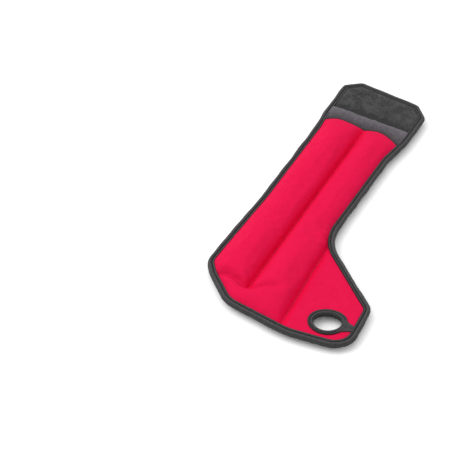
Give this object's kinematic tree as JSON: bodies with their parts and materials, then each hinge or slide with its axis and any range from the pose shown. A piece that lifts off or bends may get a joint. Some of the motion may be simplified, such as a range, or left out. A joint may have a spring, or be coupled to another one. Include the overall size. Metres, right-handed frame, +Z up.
{
  "type": "wrist weight",
  "caption": "Right-hand thumb-loop wrist weight: padded strap with twin grit-filled channels, bound edge, thumb hole and hook-and-loop closing tab, lying flat, lining side up.",
  "frame": {"origin": "centre of the strap's footprint, on the surface it lies on", "axes": "+Y along the strap towards the closing tab, +X across it towards the thumb lobe, +Z up, out of the lining side"},
  "size_m": [0.1678, 0.3544, 0.0185],
  "materials": {
    "lining": "matte crimson knitted jersey on thin foam",
    "shell": "matte charcoal knitted jersey on thin foam",
    "binding_tape": "matte black ribbed binding tape",
    "loop_fabric": "black brushed open-mesh loop fabric",
    "hook_fabric": "dark grey woven nylon hook tape",
    "grit_bag": "woven bag filled with iron grit",
    "print": "matte white transfer print"
  },
  "bodies": {
    "segment_1": {"lining_1": "lining", "shell_1": "shell", "left_grit_bag_1": "grit_bag", "right_grit_bag_1": "grit_bag", "left_binding_1": "binding_tape", "right_binding_1": "binding_tape", "loop_patch_1": "loop_fabric", "thumb_hole_binding": "binding_tape"},
    "segment_2": {"lining_2": "lining", "shell_2": "shell", "left_grit_bag_2": "grit_bag", "right_grit_bag_2": "grit_bag", "left_binding_2": "binding_tape", "right_binding_2": "binding_tape", "loop_patch_2": "loop_fabric"},
    "segment_3": {"lining_3": "lining", "shell_3": "shell", "left_grit_bag_3": "grit_bag", "right_grit_bag_3": "grit_bag", "left_binding_3": "binding_tape", "right_binding_3": "binding_tape"},
    "segment_4": {"lining_4": "lining", "shell_4": "shell", "left_grit_bag_4": "grit_bag", "right_grit_bag_4": "grit_bag", "left_binding_4": "binding_tape", "right_binding_4": "binding_tape"},
    "segment_5": {"lining_5": "lining", "shell_5": "shell", "left_grit_bag_5": "grit_bag", "right_grit_bag_5": "grit_bag", "left_binding_5": "binding_tape", "right_binding_5": "binding_tape"},
    "segment_6": {"lining_6": "lining", "shell_6": "shell", "left_grit_bag_6": "grit_bag", "right_grit_bag_6": "grit_bag", "left_binding_6": "binding_tape", "right_binding_6": "binding_tape"},
    "tab": {"tab_inner_panel": "shell", "tab_outer_panel": "shell", "tab_binding": "binding_tape", "tab_cross_tape": "binding_tape", "hook_patch": "hook_fabric", "printed_mark": "print"}
  },
  "joints": [
    {"name": "bend_1", "type": "hinge", "parent": "segment_2", "child": "segment_1", "pos_m": [-0.03486, -0.12155, 0.008], "axis": [-1, 0, 0], "range_deg": [0, 70]},
    {"name": "bend_2", "type": "hinge", "parent": "segment_3", "child": "segment_2", "pos_m": [-0.03486, -0.07355, 0.008], "axis": [-1, 0, 0], "range_deg": [0, 64]},
    {"name": "bend_3", "type": "hinge", "parent": "segment_4", "child": "segment_3", "pos_m": [-0.03486, -0.02555, 0.008], "axis": [-1, 0, 0], "range_deg": [0, 56]},
    {"name": "bend_4", "type": "hinge", "parent": "segment_4", "child": "segment_5", "pos_m": [-0.03486, 0.02245, 0.008], "axis": [1, 0, 0], "range_deg": [0, 51]},
    {"name": "bend_5", "type": "hinge", "parent": "segment_5", "child": "segment_6", "pos_m": [-0.03486, 0.06945, 0.008], "axis": [1, 0, 0], "range_deg": [0, 57]},
    {"name": "tab_bend", "type": "hinge", "parent": "segment_6", "child": "tab", "pos_m": [-0.03486, 0.11545, 0.008], "axis": [1, 0, 0], "range_deg": [0, 57]}
  ]
}
